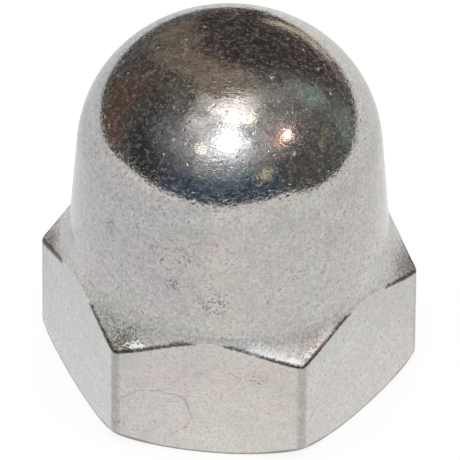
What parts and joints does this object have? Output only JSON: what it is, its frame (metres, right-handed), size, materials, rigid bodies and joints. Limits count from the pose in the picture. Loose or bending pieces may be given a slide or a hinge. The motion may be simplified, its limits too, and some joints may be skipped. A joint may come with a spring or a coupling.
{
  "type": "cap nut",
  "caption": "Hexagonal cap nut with a domed crown on a slightly tapered skirt, chamfered corners and a blind tapped hole.",
  "frame": {"origin": "centre of the hexagon's seat face, on the thread's axis", "axes": "+Z along the thread's axis from the seat towards the dome's top; two corners of the hexagon lie on the X axis and two flats face +Y and -Y"},
  "size_m": [0.0114, 0.01, 0.012],
  "materials": {
    "cap_nut_metal": "bright plated steel, polished, with light handling marks"
  },
  "bodies": {
    "root": {"cap_nut": "cap_nut_metal"}
  },
  "joints": []
}
